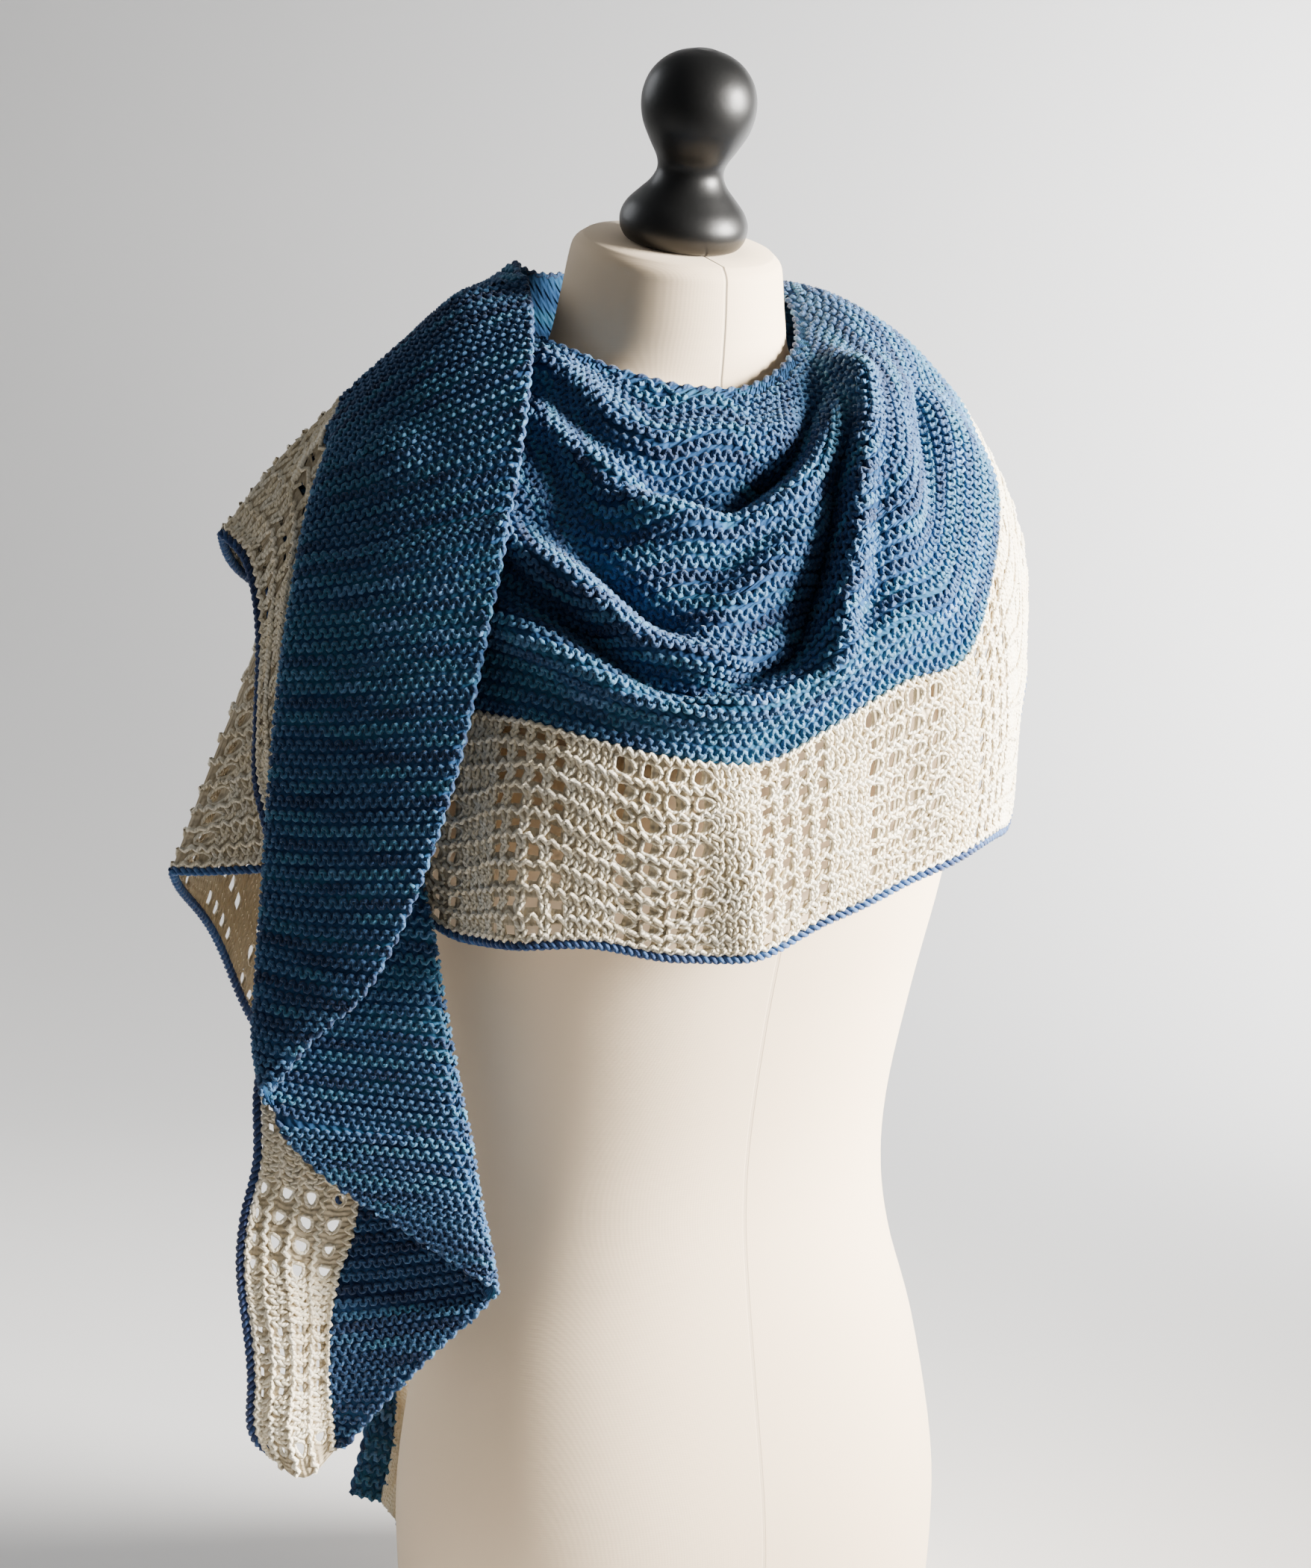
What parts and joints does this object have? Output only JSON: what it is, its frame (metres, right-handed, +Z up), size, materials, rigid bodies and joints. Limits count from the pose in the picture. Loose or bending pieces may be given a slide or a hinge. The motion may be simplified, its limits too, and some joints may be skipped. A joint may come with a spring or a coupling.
{
  "type": "knitted shawl on dress form",
  "caption": "Hand-knitted crescent shawl, garter stitch with a pierced lace border, wrapped over the shoulders of a limbless dress form with a turned neck knob.",
  "frame": {"origin": "on the floor at the middle of the dress form's flat base", "axes": "+Z up, -Y the way the form faces, +X the form's left side"},
  "size_m": [0.482, 0.3286, 0.8607],
  "materials": {
    "garter": "variegated wool, garter stitch",
    "lace": "cream wool lace",
    "cord": "rolled wool bind-off",
    "cover": "plain woven cotton cover",
    "knob": "black lacquer, satin"
  },
  "bodies": {
    "root": {"form_body": "cover", "form_knob": "knob", "front_garter": "garter", "front_lace": "lace", "front_edging": "cord", "tail_garter": "garter", "tail_lace": "lace", "tail_edging": "cord", "back_garter": "garter", "back_lace": "lace", "back_edging": "cord", "fall_panel": "garter", "fall_flare": "garter", "fall_end": "garter", "fall_lace": "lace", "fall_edging": "cord"}
  },
  "joints": []
}
